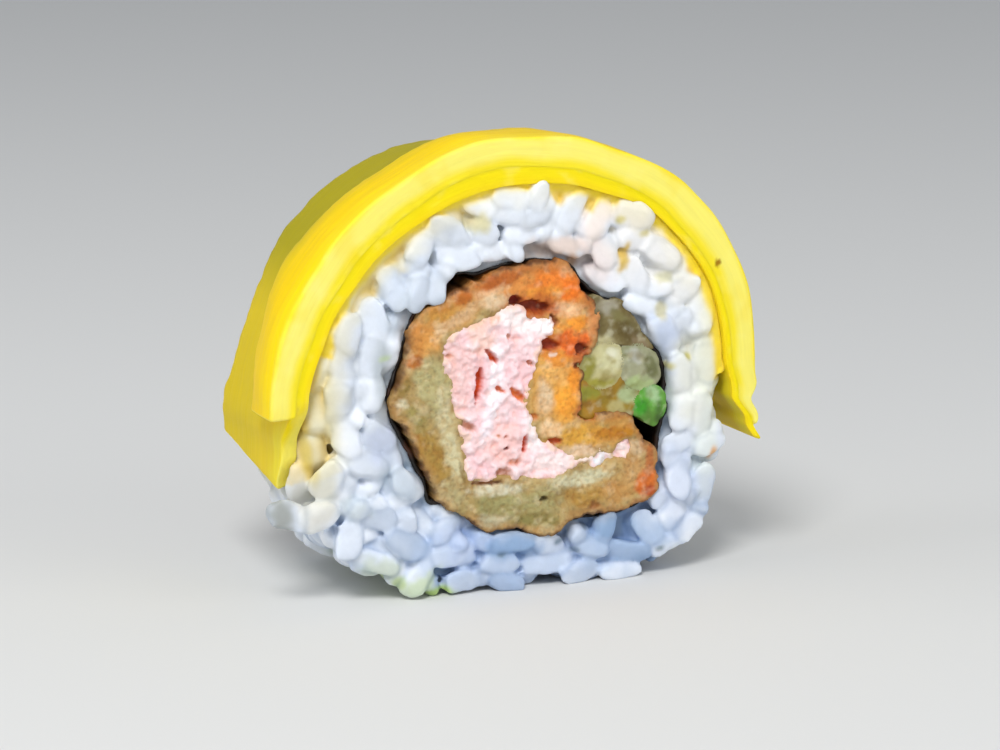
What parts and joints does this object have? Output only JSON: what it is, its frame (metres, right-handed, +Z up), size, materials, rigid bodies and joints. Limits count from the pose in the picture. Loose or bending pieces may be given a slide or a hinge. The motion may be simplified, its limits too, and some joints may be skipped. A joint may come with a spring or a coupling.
{
  "type": "fried sushi roll piece",
  "caption": "Cut piece of an inside-out roll of rice round a fried filling and cucumber, with slices of mango draped over the top, lying on its side.",
  "frame": {"origin": "on the flat spot the piece rests on, under the middle of the roll's axis", "axes": "+Y along the roll's axis, away from the cut face that the picture shows; +Z up; +X to the right as seen from that cut face"},
  "size_m": [0.0615, 0.0242, 0.0534],
  "materials": {
    "rice": "steamed short-grain rice, moist and translucent",
    "seaweed": "dried seaweed sheet, dark, softened by the rice",
    "fried_coat": "fried batter, tan and spongy at the cut, browned and craggy at its crust",
    "flesh": "cooked pink flesh, torn into moist flakes",
    "cucumber_flesh": "wet translucent cucumber",
    "cucumber_rind": "wet green cucumber rind",
    "mango_flesh": "ripe mango, cut smooth and moist"
  },
  "bodies": {
    "root": {"rice": "rice", "nori": "seaweed", "batter": "fried_coat", "flesh": "flesh", "cucumber_upper": "cucumber_flesh", "cucumber_middle": "cucumber_flesh", "cucumber_right": "cucumber_flesh", "cucumber_lower": "cucumber_flesh", "cucumber_skin": "cucumber_rind", "mango_under": "mango_flesh", "mango_over": "mango_flesh"}
  },
  "joints": []
}
